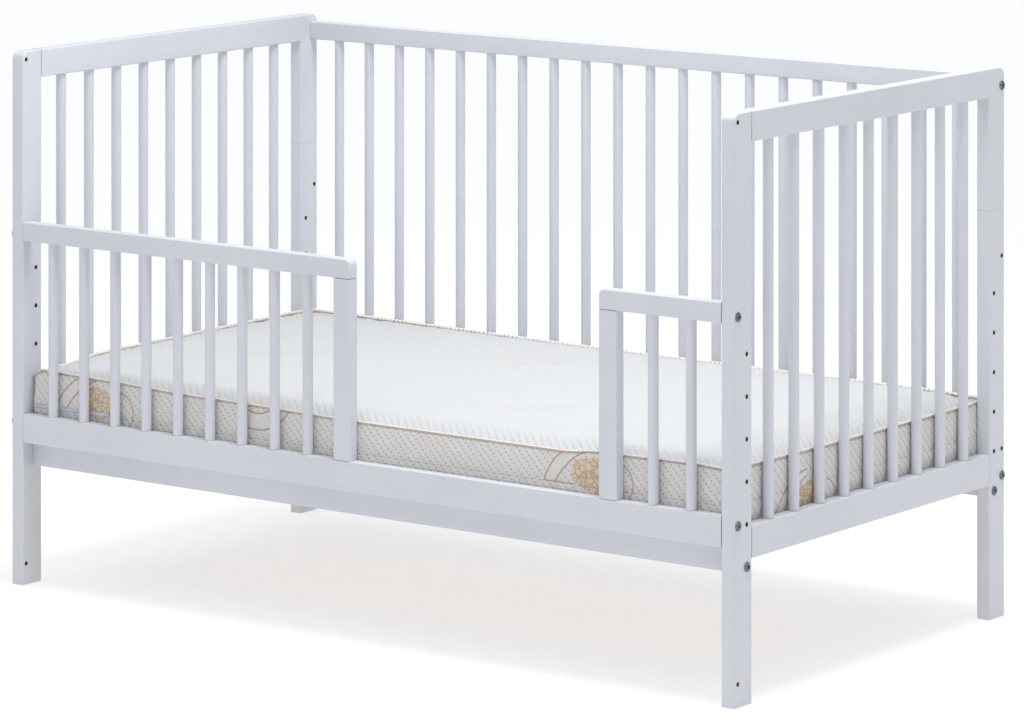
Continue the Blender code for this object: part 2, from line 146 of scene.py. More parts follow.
# Gap kept to the frame, and the most that the cloth simulation moves a point up or sideways
GAP = 0.0007
TOP_CAP = 0.0045
SIDE_CAP = 0.003
COVER_HALF = np.array((X_IN - 0.0012, -Y_FRONT_INNER - 0.0020))
HALF_ROUND = 2 * (COVER_HALF - CORNER_RADIUS).sum() + CORNER_RADIUS * math.pi
FLAP_GROOVE = 0.0015
FLAP_STEP = 0.004
LOWER_ROWS = 4
UPPER_ROWS = 5
SIDE_BULGE = 0.0010
UNDERSIDE = 0.2322
SWELL_FRAMES = 20
CLOTH = {"quality": 5, "mass": 0.25, "tension_stiffness": 14, "compression_stiffness": 14,
         "shear_stiffness": 6, "bending_stiffness": 0.15, "shrink_min": -0.022,
         "use_pressure": True, "uniform_pressure_force": 4}
CORD_PITCH = 0.0085
# Height of the upper seam at distances round the edge from the middle of the front
SEAM_HEIGHTS = ((-2.03, 0.3335), (-1.34, 0.3390), (-0.85, 0.3385), (-0.72, 0.3345),
                (-0.664, 0.3305), (-0.640, 0.3400), (-0.53, 0.3370), (-0.32, 0.3320),
                (0.03, 0.3275), (0.37, 0.3275), (0.44, 0.3330), (0.61, 0.3350), (0.68, 0.3325),
                (1.00, 0.3305), (1.34, 0.3305), (1.50, 0.3330), (2.03, 0.3335))
ZIP_START = -0.96
ZIP_END = -0.503
ZIP_HEIGHT = FLAP_HEIGHT + 0.002

# Prints on the cover. Side band: distance round the edge, and height. Top: x and y.
DOT_STEPS = ((0.00467, -0.00483), (0.00933, 0.00483))
SPRIG_STEPS = ((0.370, 0.160), (0.235, -0.300))
SPRIG_START = (-0.418, -0.008)
SPRIG_HALF = 0.062
LEAF_PITCH = 0.0175
LEAF_WIDTH = 0.0095
RIBBON_SPACING = 0.951
# Each row of ribbons: where it starts, its height there, and how it climbs
RIBBONS = ((-0.612, 0.2815, 0.0), (0.776, 0.242, 0.067))
# The ribbon that hangs from the seam: the middle of its arc, its radius, half width and start
RIBBON_CENTRE = (-0.204, 0.3695)
RIBBON_REACH = 0.0625
RIBBON_HALF = 0.0125
RIBBON_START = -0.223


def add_object(name, data):
    """Add an object to the scene."""
    obj = bpy.data.objects.new(name, data)
    bpy.context.scene.collection.objects.link(obj)
    return obj


def mesh_of(name, bm):
    """Make a mesh of a bmesh, which this frees."""
    mesh = bpy.data.meshes.new(name)
    bm.to_mesh(mesh)
    bm.free()
    return mesh


def mesh_from(name, points, faces):
    """Make a mesh of an array of points and a list of faces."""
    mesh = bpy.data.meshes.new(name)
    mesh.from_pydata(points.tolist(), [], faces)
    return mesh


def smooth(share):
    """Rise smoothly from 0 to 1 as an array's values do."""
    share = np.clip(share, 0, 1)
    return share * share * (3 - 2 * share)


class Value:
    """One output of a node. Each sign of arithmetic on it adds a math node to the graph."""

    def __init__(self, graph, socket):
        self.graph = graph
        self.socket = socket

    def __add__(self, other):
        return self.graph.math("ADD", self, other)

    def __sub__(self, other):
        return self.graph.math("SUBTRACT", self, other)

    def __rsub__(self, other):
        return self.graph.math("SUBTRACT", other, self)

    def __mul__(self, other):
        return self.graph.math("MULTIPLY", self, other)

    def __truediv__(self, other):
        return self.graph.math("DIVIDE", self, other)

    def __abs__(self):
        return self.graph.math("ABSOLUTE", self)


class Graph:
    """Shortcuts for laying out one material's nodes."""

    def __init__(self, name):
        self.material = bpy.data.materials.new(name)
        self.material.use_nodes = True
        self.nodes = self.material.node_tree.nodes
        self.links = self.material.node_tree.links
        self.shader = self.nodes["Principled BSDF"]

    def feed(self, socket, value):
        """Link a node's output to a socket, or set the socket's own value."""
        if isinstance(value, Value):
            self.links.new(value.socket, socket)
        elif socket.type == "RGBA" and len(value) == 3:
            socket.default_value = (*value, 1.0)
        else:
            socket.default_value = value

    def set(self, **values):
        """Set the shader's sockets, with _ for each space in a socket's name."""
        for name, value in values.items():
            self.feed(self.shader.inputs[name.replace("_", " ")], value)

    def node(self, kind, output, inputs, **options):
        """Add a node and return one of its outputs. inputs go by their names or numbers."""
        node = self.nodes.new(kind)
        for name, value in options.items():
            setattr(node, name, value)
        for name, value in inputs.items():
            self.feed(node.inputs[name], value)
        return Value(self, node.outputs[output])

    def coords(self, kind="Object"):
        return self.node("ShaderNodeTexCoord", kind, {})

    def uv(self, name):
        return self.node("ShaderNodeUVMap", "UV", {}, uv_map=name)

    def split(self, vector):
        """Return a vector's x, y and z."""
        first = self.node("ShaderNodeSeparateXYZ", 0, {"Vector": vector})
        return [Value(self, socket) for socket in first.socket.node.outputs]

    def join(self, x, y, z=0.0):
        return self.node("ShaderNodeCombineXYZ", 0, {"X": x, "Y": y, "Z": z})

    def math(self, operation, *values):
        return self.node("ShaderNodeMath", 0, dict(enumerate(values)), operation=operation)

    def sine(self, value):
        return self.math("SINE", value)

    def vector(self, operation, *values):
        output = "Value" if operation in ("LENGTH", "DISTANCE") else "Vector"
        return self.node("ShaderNodeVectorMath", output, dict(enumerate(values)),
                         operation=operation)

    def noise(self, place, scale, detail=2.0, roughness=0.5, output="Fac"):
        return self.node("ShaderNodeTexNoise", output, {
            "Vector": place, "Scale": scale, "Detail": detail, "Roughness": roughness})

    def cells(self, place, scales, feature="F1"):
        """Return the distance within irregular cells, which are finer where a scale is larger."""
        scaled = self.vector("MULTIPLY", place, scales)
        return self.node("ShaderNodeTexVoronoi", "Distance", {"Vector": scaled, "Scale": 1.0},
                         feature=feature)

    def step(self, value, start, end):
        """Rise smoothly from 0 at start to 1 at end, or fall if end is below start."""
        low, high = sorted((start, end))
        return self.node("ShaderNodeMapRange", "Result", {
            "Value": value, "From Min": low, "From Max": high, "To Min": float(start > end),
            "To Max": float(start < end)}, interpolation_type="SMOOTHSTEP")

    def scale(self, value, low, high):
        """Stretch a value from the range 0 to 1 onto the range low to high."""
        return self.math("MULTIPLY_ADD", value, high - low, low)

    def mix(self, amount, first, second):
        return self.node("ShaderNodeMix", 2, {0: amount, 6: first, 7: second}, data_type="RGBA")

    def bump(self, height, depth, under=None):
        """Raise the surface by height, from 0 to 1, times depth, over another bump."""
        inputs = {"Height": height, "Distance": depth}
        if under:
            inputs["Normal"] = under
        return self.node("ShaderNodeBump", "Normal", inputs)


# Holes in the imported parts

def round_holes(name, axis, face, radius):
    """Return the centres of the round holes that open in one flat face of a CAD node.

    axis is the face's normal, 0 to 2, and face its place on that axis. A hole is a ring of
    HOLE_SIDES points, which no other outline has.
    """
    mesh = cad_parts[name].data
    points = {tuple(round(c, 5) for c in v.co) for v in mesh.vertices
              if abs(v.co[axis] - face) < 1e-5}
    step = 2 * radius * math.sin(math.pi / HOLE_SIDES) * 1.15
    centres = []
    while points:
        ring = [points.pop()]
        for point in ring:
            near = [p for p in points if math.dist(p, point) < step]
            points.difference_update(near)
            ring.extend(near)
        if len(ring) == HOLE_SIDES:
            centres.append(Vector(np.mean(ring, axis=0)))
    return sorted(centres, key=lambda centre: tuple(centre))


def nearest(graph, place, centres):
    """Return the distance from a shaded point to the nearest of several points."""
    found = None
    for centre in centres:
        gap = graph.vector("DISTANCE", place, tuple(centre))
        found = gap if found is None else graph.math("MINIMUM", found, gap)
    return found


# Wood

def along(axis, fine, coarse):
    """Return a scale for each axis: coarse along the grain and fine across it."""
    return tuple(coarse if name == axis else fine for name in "XYZ")


def grain_lines(graph, place, axis):
    """Return brushed grain, long along one axis, from 0 to 1."""
    wavy = graph.vector("MULTIPLY", place, along(axis, 330.0, 9.0))
    broad = graph.vector("MULTIPLY", place, along(axis, 75.0, 2.2))
    return graph.noise(wavy, 1.0, 4.0, 0.6) * 0.55 + graph.noise(broad, 1.0, 2.0) * 0.45


def paint_material(name, axis, bare_and_gap_shade_mask=None, line_mask=None):
    """White satin paint that lets the grain show. The masks are functions of the graph and the
    place: the first bares brown wood, which at the rails' butt ends is also painted shade of
    the joint gaps, and line_mask draws a hair-fine joint."""
    graph = Graph(name)
    place = graph.coords()
    grain = grain_lines(graph, place, axis)
    cloud = graph.noise(place, 5.0, 3.0)
    peel = graph.noise(place, 420.0, 2.0)
    tone = cloud * 0.6 + grain * 0.4
    colour = graph.mix(graph.step(tone, 0.38, 0.62), PAINT_SHADE, PAINT_LIGHT)
    specks = graph.step(graph.noise(place, 130.0, 1.0), 0.745, 0.775)
    colour = graph.mix(specks * 0.2, colour, PAINT_SPECK)
    rough = graph.scale(graph.noise(place, 60.0, 2.0), 0.34, 0.48)
    if line_mask:
        colour = graph.mix(line_mask(graph, place) * 0.45, colour, JOINT_GREY)
    if bare_and_gap_shade_mask:
        # Painted shade: at the rails' butt ends this brown also stands for the shade in the joint
        # gap.
        bare = bare_and_gap_shade_mask(graph, place)
        wood = graph.mix(grain, RAW_WOOD, tuple(1.7 * c for c in RAW_WOOD))
        colour = graph.mix(bare, colour, wood)
        rough = graph.math("MAXIMUM", rough, bare * 0.8)
    fine = graph.bump(peel, 0.00008)
    graph.set(Base_Color=colour, Roughness=rough, Normal=graph.bump(grain, 0.00022, fine),
              IOR=1.5, Coat_Weight=0.12, Coat_Roughness=0.22)
    return graph.material


def leg_holes_mask(node):
    """Return a mask that bares the wood in a leg's holes, a little past their ragged rims."""
    centres = [Vector((0, abs(c.y), c.z)) for c in round_holes(node, 0, X_OUT, BOLT_HOLE)]

    def mask(graph, place):
        _, y, z = graph.split(place)
        flat = graph.join(0.0, abs(y), z)
        ragged = graph.scale(graph.noise(place, 900.0), -0.0005, 0.0005)
        gap = nearest(graph, flat, centres) + ragged
        return graph.step(gap, BOLT_HOLE + 0.0005, BOLT_HOLE + 0.0001)

    return mask


def finger_joint(graph, place):
    """Mark the hair-fine line where a rear leg's two lengths of wood are finger-jointed."""
    _, _, z = graph.split(place)
    return graph.step(abs(z - FINGER_JOINT), 0.0007, 0.0002)


def nut_holes(name):
    """Return the barrel nuts' holes of a rail, each as its mouth's centre and its way in."""
    low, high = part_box(name)
    inner = {"front": Y_FRONT_INNER, "guard": Y_FRONT_INNER, "back": Y_BACK}
    if name.startswith("base"):
        face = high.y if name.endswith("front") else low.y
    else:
        face = inner[name.split("_")[0]]
    way = -1.0 if abs(face - high.y) < 1e-4 else 1.0
    return [(centre, way) for centre in round_holes(name, 1, face, NUT_HOLE)]


def bare_ends_and_gap_shade_mask(reach, node):
    """Return a mask that bares a rail's sawn ends along X, and the insides of its nut holes.
    The brown band at the ends is bare end grain, and painted shade of the joint gap to the leg.
    """
    mouth, way = nut_holes(node)[0]
    centre = (abs(mouth.x), 0, mouth.z)
    end = X_IN - reach

    def mask(graph, place):
        x, y, z = graph.split(place)
        across = abs(x)
        ragged = graph.scale(graph.noise(place, 700.0), -0.0004, 0.0004)
        # Painted shade: this thin brown band at the butt end is partly bare end grain, partly the
        # shade in the gap to the leg.
        bare = graph.step(across + ragged, end - 0.0002, end + 0.0002)
        gap = graph.vector("DISTANCE", graph.join(across, 0.0, z), centre)
        hole = graph.step(gap + ragged, NUT_HOLE + 0.0004, NUT_HOLE)
        depth = (y - mouth.y) * way
        hole = hole * graph.step(depth, NUT_DEPTH + 0.0006, NUT_DEPTH + 0.0001)
        return graph.math("MAXIMUM", bare * 0.35, hole)

    return mask


def end_rail_bare_and_gap_shade_mask(graph, place):
    """Tint the shoulders where an end rail meets its legs a faint brown: bare end grain, and
    painted shade of the joint gap.
    """
    y = abs(graph.split(place)[1])
    # Painted shade: a faint brown at the rail's ends for the shade in the gap to the leg, with bare
    # end grain.
    return graph.step(y, Y_IN - 0.0008, Y_IN - 0.0004) * 0.08


def pine_material():
    """Bare planed pine: slats with their grain across the bed, on a bearer with its own along."""
    graph = Graph("bare_pine")
    place = graph.coords()
    x, y, z = graph.split(place)
    shift = graph.math("FLOOR", (x + X_IN) / SLAT_PITCH) * 0.731
    moved = graph.vector("ADD", place, graph.join(shift, shift, 0.0))
    under = graph.step(z, DECK_TOP - SLAT_THICK - 0.0001, DECK_TOP - SLAT_THICK - 0.0003)
    middle = under * graph.step(abs(y), BEARER_HALF, BEARER_HALF - 0.0003)
    lines = []
    for axis in "YX":
        warp = graph.vector("MULTIPLY", moved, along(axis, 26.0, 1.6))
        rings = graph.sine(graph.noise(warp, 1.0, 2.0) * 46.0)
        lines.append(graph.scale(rings, 0.35, 0.55) + grain_lines(graph, moved, axis) * 0.3)
    figure = graph.node("ShaderNodeMix", 0, {0: middle, 2: lines[0], 3: lines[1]})
    colour = graph.mix(graph.step(figure, 0.2, 1.0), PINE_LIGHT, PINE_DARK)
    tint = graph.noise(graph.join(shift, 0.0, 0.0), 3.0, 0.0)
    colour = graph.mix(graph.scale(tint, 0.0, 0.7), colour, PINE_TINT)
    knots = graph.step(graph.cells(moved, (14, 9, 14)), 0.16, 0.05)
    colour = graph.mix(knots * 0.8, colour, KNOT_BROWN)
    graph.set(Base_Color=colour, Roughness=graph.scale(figure, 0.5, 0.68),
              Normal=graph.bump(figure, 0.0002))
    return graph.material


def zinc_material():
    """Zinc-plated steel with turning marks round the axis of each bolt or nut."""
    graph = Graph("zinc_plate")
    place = graph.coords()
    centred = graph.vector("SUBTRACT", graph.coords("Generated"), (0.5, 0.5, 0.5))
    _, y, z = graph.split(centred)
    off_axis = graph.vector("LENGTH", graph.join(0.0, y, z))
    turned = graph.sine(off_axis * 170.0)
    cloud = graph.noise(place, 260.0, 3.0)
    dirt = graph.step(graph.math("MULTIPLY_ADD", turned, 0.06, cloud), 0.35, 0.62)
    graph.set(Base_Color=graph.mix(dirt, ZINC_DARK, ZINC_LIGHT), Metallic=1.0,
              Roughness=graph.scale(cloud, 0.22, 0.42), Normal=graph.bump(turned, 0.00006))
    return graph.material


# Carried-over CAD nodes

def soft_edge_group():
    """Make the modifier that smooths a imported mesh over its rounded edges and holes."""
    group = bpy.data.node_groups.new("soft_edges", "GeometryNodeTree")
    group.interface.new_socket("Mesh", in_out="INPUT", socket_type="NodeSocketGeometry")
    group.interface.new_socket("Mesh", in_out="OUTPUT", socket_type="NodeSocketGeometry")
    nodes = group.nodes
    forget = nodes.new("GeometryNodeRemoveAttribute")
    forget.inputs["Name"].default_value = "custom_normal"
    weld = nodes.new("GeometryNodeMergeByDistance")
    weld.inputs["Distance"].default_value = 1e-5
    faces = nodes.new("GeometryNodeSetShadeSmooth")
    faces.domain = "FACE"
    edges = nodes.new("GeometryNodeSetShadeSmooth")
    edges.domain = "EDGE"
    fold = nodes.new("GeometryNodeInputMeshEdgeAngle")
    gentle = nodes.new("FunctionNodeCompare")
    gentle.operation = "LESS_THAN"
    gentle.inputs["B"].default_value = math.radians(48)
    group.links.new(fold.outputs["Unsigned Angle"], gentle.inputs["A"])
    group.links.new(gentle.outputs["Result"], edges.inputs["Shade Smooth"])
    chain = [nodes.new("NodeGroupInput"), forget, weld, faces, edges, nodes.new("NodeGroupOutput")]
    for first, second in zip(chain, chain[1:]):
        group.links.new(first.outputs[0], second.inputs[0])
    return group


def dress(name, material, soft_edges):
    """Give a CAD node its material and smooth its shading."""
    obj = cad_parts[name]
    for material_slot in obj.material_slots:
        material_slot.link = "OBJECT"
        material_slot.material = material
    smooth = obj.modifiers.new("soft edges", "NODES")
    smooth.node_group = soft_edges
    weigh = obj.modifiers.new("flat faces", "WEIGHTED_NORMAL")
    weigh.keep_sharp = True


def dress_frame(zinc):
    """Dress every CAD node that stays in view."""
    soft_edges = soft_edge_group()
    upright = paint_material("paint_upright", "Z")
    across = paint_material("paint_end_rail", "Y", end_rail_bare_and_gap_shade_mask)
    looks = {
        "leg_front": paint_material("paint_leg_front", "Z", leg_holes_mask("leg_front_right")),
        "leg_rear": paint_material("paint_leg_rear", "Z", leg_holes_mask("leg_rear_right"),
                                   finger_joint),
        "end_top_rail": across,
        "end_bottom_rail": across,
        "end_spindle": upright,
        "guard_spindle": upright,
        "guard_stile": upright,
        "bolt": zinc,
        "base_slat_deck": pine_material(),
    }
    for rail, reach in NUTTED_RAILS.items():
        looks[rail] = paint_material(f"paint_{rail}", "X", bare_ends_and_gap_shade_mask(reach, rail))
    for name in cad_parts:
        if name != "mattress":
            kind = max((k for k in looks if name.startswith(k)), key=len)
            dress(name, looks[kind], soft_edges)


def barrel_nut_mesh():
    """Make a barrel nut, its slotted end at z = 0 and its body below."""
    radius, length, slot, depth = 0.0049, 0.0115, 0.0007, 0.0011
    bm = bmesh.new()
    bmesh.ops.create_cone(bm, cap_ends=True, segments=32, radius1=radius, radius2=radius,
                          depth=length, matrix=Matrix.Translation((0, 0, -depth - length / 2)))
    rims = [e for e in bm.edges if abs((e.verts[0].co - e.verts[1].co).z) < 1e-6
            and e.verts[0].co.z < -0.005]
    bmesh.ops.bevel(bm, geom=rims, offset=0.0005, segments=2, affect="EDGES", profile=0.5)
    for x in (-slot, slot):
        whole = bm.verts[:] + bm.edges[:] + bm.faces[:]
        bmesh.ops.bisect_plane(bm, geom=whole, plane_co=(x, 0, 0), plane_no=(1, 0, 0))
    lands = [f for f in bm.faces if f.normal.z > 0.9 and abs(f.calc_center_median().x) > slot]
    raised = bmesh.ops.extrude_discrete_faces(bm, faces=lands)["faces"]
    bmesh.ops.translate(bm, verts=[v for f in raised for v in f.verts], vec=(0, 0, depth))
    for face in raised:
        bmesh.ops.inset_region(bm, faces=[face], thickness=0.0004, depth=0.0002)
    mesh = mesh_of("barrel_nut", bm)
    mesh.shade_smooth()
    mesh.set_sharp_from_angle(angle=SHARP)
    return mesh


def make_barrel_nuts(material):
    """Sink a slotted barrel nut into each nut hole of the rails."""
    mesh = barrel_nut_mesh()
    mesh.materials.append(material)
    holes = [hole for rail in NUTTED_RAILS for hole in nut_holes(rail)]
    for number, (mouth, way) in enumerate(holes, 1):
        nut = add_object(f"barrel_nut_{number}", mesh)
        nut.location = mouth + Vector((0, way * 0.0005, 0))
        nut.rotation_euler = (way * math.pi / 2, 0, 0)
        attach(nut, "bed_frame")


# Mattress cover

# All but the last, and all but the first, of a row of places that comes back to its start
BEFORE, AFTER = slice(None, -1), slice(1, None)


def add_piece(name, mesh, material, sharp=False):
    """Add a mesh as a piece that lies with the mattress."""
    mesh.materials.append(material)
    mesh.shade_smooth()
    if sharp:
        mesh.set_sharp_from_angle(angle=SHARP)
    obj = add_object(name, mesh)
    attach(obj, "mattress")


def grid_line(half):
    """Return the places of the grid along one side, closer together round the corners."""
    inner = half - CORNER_RADIUS
    middle = np.linspace(-inner, inner, round(2 * inner / CELL) + 1)
    curve = np.linspace(inner, half, CORNER_STEPS + 1)[1:]
    return np.concatenate((-curve[::-1], middle, curve))


def round_corners(plan, half):
    """Bend a rectangle's four square corners into quarter circles."""
    past = np.clip(np.abs(plan) - (half - CORNER_RADIUS), 0, None) / CORNER_RADIUS
    bent = past * np.sqrt(1 - past[:, ::-1] ** 2 / 2) * CORNER_RADIUS
    return np.sign(plan) * (np.minimum(np.abs(plan), half - CORNER_RADIUS) + bent)


def rim(way, grow=0.0):
    """Return points and outward directions round the cover's edge.

    way holds distances along the edge from the middle of the front, to the right positive.
    grow moves the points outwards.
    """
    straight = COVER_HALF - CORNER_RADIUS
    arc = CORNER_RADIUS * math.pi / 2
    perimeter = 4 * straight.sum() + 4 * arc
    way = np.mod(np.atleast_1d(way) + straight[0], perimeter)
    points = np.zeros((len(way), 2))
    outward = np.zeros((len(way), 2))
    start = 0.0
    for turn in range(4):
        run, depth = (straight, straight[::-1])[turn % 2]
        angle = turn * math.pi / 2
        ahead = np.array((math.cos(angle), math.sin(angle)))
        out = np.array((math.sin(angle), -math.cos(angle)))
        here = way - start
        on_side = (here >= 0) & (here < 2 * run)
        points[on_side] = (np.outer(here[on_side] - run, ahead) + (depth + CORNER_RADIUS) * out)
        outward[on_side] = out
        bend = (here >= 2 * run) & (here < 2 * run + arc)
        swing = (here[bend] - 2 * run) / CORNER_RADIUS
        facing = np.outer(np.cos(swing), out) + np.outer(np.sin(swing), ahead)
        points[bend] = run * ahead + depth * out + CORNER_RADIUS * facing
        outward[bend] = facing
        start += 2 * run + arc
    return points + grow * outward, outward


def seam_height(way):
    """Return the upper seam's height at distances round the edge."""
    keys, heights = np.array(SEAM_HEIGHTS).T
    spot = np.clip(np.searchsorted(keys, way) - 1, 0, len(keys) - 2)
    share = smooth((way - keys[spot]) / (keys[spot + 1] - keys[spot]))
    return heights[spot] * (1 - share) + heights[spot + 1] * share


def wrap(way):
    """Bring distances round the edge to within half a round of the front's middle."""
    return np.mod(way + HALF_ROUND, 2 * HALF_ROUND) - HALF_ROUND


def ring_of(index):
    """Return a grid's border points in order, from the back left corner round by the front."""
    return np.concatenate((index[0, ::-1], index[1:, 0], index[-1, 1:], index[-2:0:-1, -1]))


def ring_distances(edge, left, right):
    """Return each border point's distance round the edge, and the first point's once more.

    left and right are the places in the ring of the two front corners.
    """
    steps = np.linalg.norm(np.roll(edge, -1, axis=0) - edge, axis=1)
    way = np.concatenate(((0,), np.cumsum(steps)))
    return (way - (way[left] + way[right]) / 2) * 2 * HALF_ROUND / way[-1]


def top_heights(plan, edge, seam):
    """Return the top panel's heights: it rolls up from its seam to a nearly flat plateau."""
    gaps = np.linalg.norm(plan[:, None] - edge[None], axis=2)
    weight = (gaps + 1e-6) ** -4
    low = weight @ seam / weight.sum(axis=1)
    rise = np.sin(np.clip(gaps.min(axis=1) / ROLL_WIDTH, 0, 1) * math.pi / 2)
    uneven = [0.0013 * noise.noise(Vector((3.1 * x, 3.7 * y, 0.5))) for x, y in plan]
    return low + (PLATEAU + np.array(uneven) - low) * rise, gaps.min(axis=1)


def belly(points):
    """Bulge the two ends out towards their spindles, between the legs and above the rails."""
    x, y, z = points.T
    between = smooth((Y_IN - 0.006 - np.abs(y)) / 0.030)
    above = smooth((z - END_RAIL_TOP) / 0.020)
    near_end = smooth((np.abs(x) - X_IN + 0.050) / 0.040)
    return np.column_stack((x + np.sign(x) * END_BELLY * between * above * near_end, y, z))


def keep_clear(points):
    """Press points back to leave a gap to the legs, rails and spindles."""
    x, y, z = points.T
    beside_spindles = (np.abs(y) < Y_IN - 0.012) & (z > END_RAIL_TOP + 0.010)
    room = np.where(beside_spindles, SPINDLE_IN, X_IN) - GAP
    depth = -Y_FRONT_INNER - GAP
    return np.column_stack((np.clip(x, -room, room), np.clip(y, -depth, depth), z))


def side_rows(edge, outward, seam):
    """Return the side band's rows of points from the bottom up, with the flap's groove."""
    lower = np.linspace(BOTTOM_SEAM, FLAP_HEIGHT - FLAP_STEP, LOWER_ROWS + 1)[1:]
    upper = np.linspace(0, 1, UPPER_ROWS + 1)[:-1]
    start = FLAP_HEIGHT + FLAP_STEP
    rows = [np.full(len(edge), height) for height in (*lower, FLAP_HEIGHT)]
    rows += [start + share * (seam - start) for share in upper]
    made = []
    for number, height in enumerate(rows):
        share = (height - BOTTOM_SEAM) / (seam - BOTTOM_SEAM)
        grow = SIDE_BULGE * np.sin(math.pi * share)
        if number == LOWER_ROWS:
            grow = grow - FLAP_GROOVE
        made.append(np.column_stack((edge + grow[:, None] * outward, height)))
    return made


def lay_uvs(mesh, uvs):
    """Give a mesh's face corners their places on the cloth."""
    layer = mesh.uv_layers.new(name="cloth")
    layer.data.foreach_set("uv", uvs.astype(np.float32).ravel())


def points_of(mesh):
    """Return a mesh's points as an array."""
    flat = np.empty(3 * len(mesh.vertices), dtype=np.float32)
    mesh.vertices.foreach_get("co", flat)
    return flat.reshape(-1, 3)


def grid_quads(index):
    """Return a grid's faces as rows of four point numbers."""
    corners = [index[:-1, :-1], index[1:, :-1], index[1:, 1:], index[:-1, 1:]]
    return np.stack([c.ravel() for c in corners], axis=1)


def band_quads(low, high):
    """Return the faces between two closed rings of point numbers."""
    return np.stack((low, np.roll(low, -1), np.roll(high, -1), high), axis=1)


def hold_weights(inset, ring, flap, total):
    """Return how firmly each point is held: hard at the seams and the bottom, softly elsewhere."""
    count = len(inset)
    hold = np.full(total, 0.04)
    hold[:count] = 0.02 + 0.10 * smooth(inset / 0.16)
    hold[ring] = 1.0
    hold[count:2 * count] = 1.0
    hold[flap] = 0.9
    return hold


def make_cover(materials):
    """Make the mattress cover as one closed mesh: top, bottom and side band.

    Returns it with how firmly each point is held while it swells.
    """
    xs, ys = (grid_line(half) for half in COVER_HALF)
    plan = round_corners(np.array([(x, y) for x in xs for y in ys]), COVER_HALF)
    index = np.arange(len(plan)).reshape(len(xs), len(ys))
    ring = ring_of(index)
    edge = plan[ring]
    way = ring_distances(edge, len(ys) - 1, len(ys) + len(xs) - 2)
    seam = seam_height(wrap(way[:-1]))
    top, inset = top_heights(plan, edge, seam)
    bottom = BOTTOM_SEAM + (UNDERSIDE - BOTTOM_SEAM) * smooth(inset / 0.012)
    rows = side_rows(edge, rim(way[:-1])[1], seam)
    points = np.concatenate((np.column_stack((plan, top)), np.column_stack((plan, bottom)), *rows))
    points = keep_clear(belly(points))

    count = len(plan)
    rings = [ring + count]
    rings += [np.arange(len(ring)) + 2 * count + k * len(ring) for k in range(len(rows))]
    rings += [ring]
    upper = grid_quads(index)
    bands = [band_quads(low, high) for low, high in zip(rings, rings[1:])]
    faces = np.concatenate((upper, upper[:, ::-1] + count, *bands))
    across = np.stack([way[part] for part in (BEFORE, AFTER, AFTER, BEFORE)], axis=1)
    uvs = [plan[upper], plan[upper[:, ::-1]]]
    uvs += [np.stack((across, points[quads][:, :, 2]), axis=2) for quads in bands]
    mesh = mesh_from("mattress_cover", points, faces.tolist())
    lay_uvs(mesh, np.concatenate(uvs))
    for material in materials:
        mesh.materials.append(material)
    side = np.arange(len(faces)) >= len(upper)
    mesh.polygons.foreach_set("material_index", side.astype(np.int32))
    mesh.shade_smooth()
    hold = hold_weights(inset, ring, rings[LOWER_ROWS + 1], len(points))
    return add_object("mattress_cover", mesh), hold


def swell(cover, hold):
    """Blow the cover up a little with a cloth simulation, and keep the shape."""
    group = cover.vertex_groups.new(name="held")
    for index, weight in enumerate(hold):
        group.add((index,), float(weight), "REPLACE")
    cloth = cover.modifiers.new("cloth", "CLOTH")
    for name, value in CLOTH.items():
        setattr(cloth.settings, name, value)
    cloth.settings.vertex_group_mass = group.name
    cloth.settings.effector_weights.gravity = 0
    cloth.point_cache.frame_start = 1
    cloth.point_cache.frame_end = SWELL_FRAMES
    scene = bpy.context.scene
    for number in range(1, SWELL_FRAMES + 1):
        scene.frame_set(number)
    evaluated = cover.evaluated_get(bpy.context.evaluated_depsgraph_get())
    start, end = points_of(cover.data), points_of(evaluated.data)
    cover.modifiers.remove(cloth)
    scene.frame_set(1)
    move = end - start
    length = np.linalg.norm(move, axis=1)
    upward = np.abs(move[:, 2]) > np.abs(move[:, :2]).max(axis=1)
    cap = np.where(upward, TOP_CAP, SIDE_CAP)
    move *= (cap * np.tanh(length / cap) / np.maximum(length, 1e-9))[:, None]
    cover.data.vertices.foreach_set("co", keep_clear(start + move).ravel())
    cover.data.update()


# Mattress trim

def along_back(way):
    """Rise from 0 to 1 where the upper piping goes along the left end and the back."""
    way = wrap(way)
    return smooth(np.maximum(np.abs(way) - 1.33, -0.76 - way) / 0.05)


def piping_radius(way):
    """Return the upper piping's radius: the top panel's roll hides part of it in front."""
    front = smooth((0.68 - np.abs(wrap(way))) / 0.08)
    return (PIPING_RADIUS + (FRONT_PIPING_RADIUS - PIPING_RADIUS) * front
            + (BACK_PIPING_RADIUS - PIPING_RADIUS) * along_back(way))


def piping_height(way):
    """Return the height of the upper piping, which stands up along the left end and the back."""
    return seam_height(wrap(way)) + 0.0002 + BACK_PIPING_LIFT * along_back(way)


